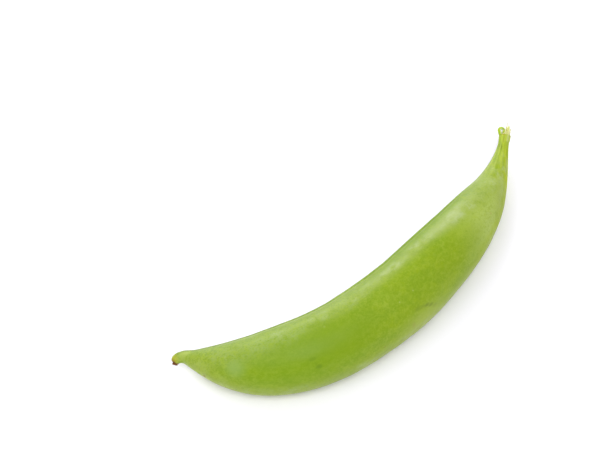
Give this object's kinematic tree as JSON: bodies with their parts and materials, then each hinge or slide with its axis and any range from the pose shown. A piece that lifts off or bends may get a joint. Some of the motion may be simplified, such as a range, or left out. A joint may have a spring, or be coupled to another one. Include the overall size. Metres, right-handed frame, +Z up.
{
  "type": "sugar snap pea pod",
  "caption": "Fresh green sugar snap pea pod, plump and curved, lying on its flank, with a hooked beak at one end and a slim neck with torn stalk fibres at the other.",
  "frame": {"origin": "middle of the underside of the bounding box, on the surface that the pod lies on", "axes": "+X from the beak at the blossom end to the neck at the stem end, along the straight line between them; +Y to the hollow, inner side of the pod's curve; +Z up, through the pod's flanks"},
  "size_m": [0.0846, 0.0256, 0.0122],
  "materials": {
    "pod_skin": "fresh plant skin with a thin wax bloom, satin, yellow-green and faintly mottled, darker along the flanks and paler by the seams",
    "calyx": "fresh plant tissue, matte, mid green",
    "fibre": "torn plant fibre, matte, pale cream with a green tinge",
    "dried_style": "dried plant tissue, matte, dark brown"
  },
  "bodies": {
    "root": {"pod": "pod_skin", "calyx_remnant": "calyx", "stem_fibres": "fibre", "style_remnant": "dried_style"}
  },
  "joints": []
}
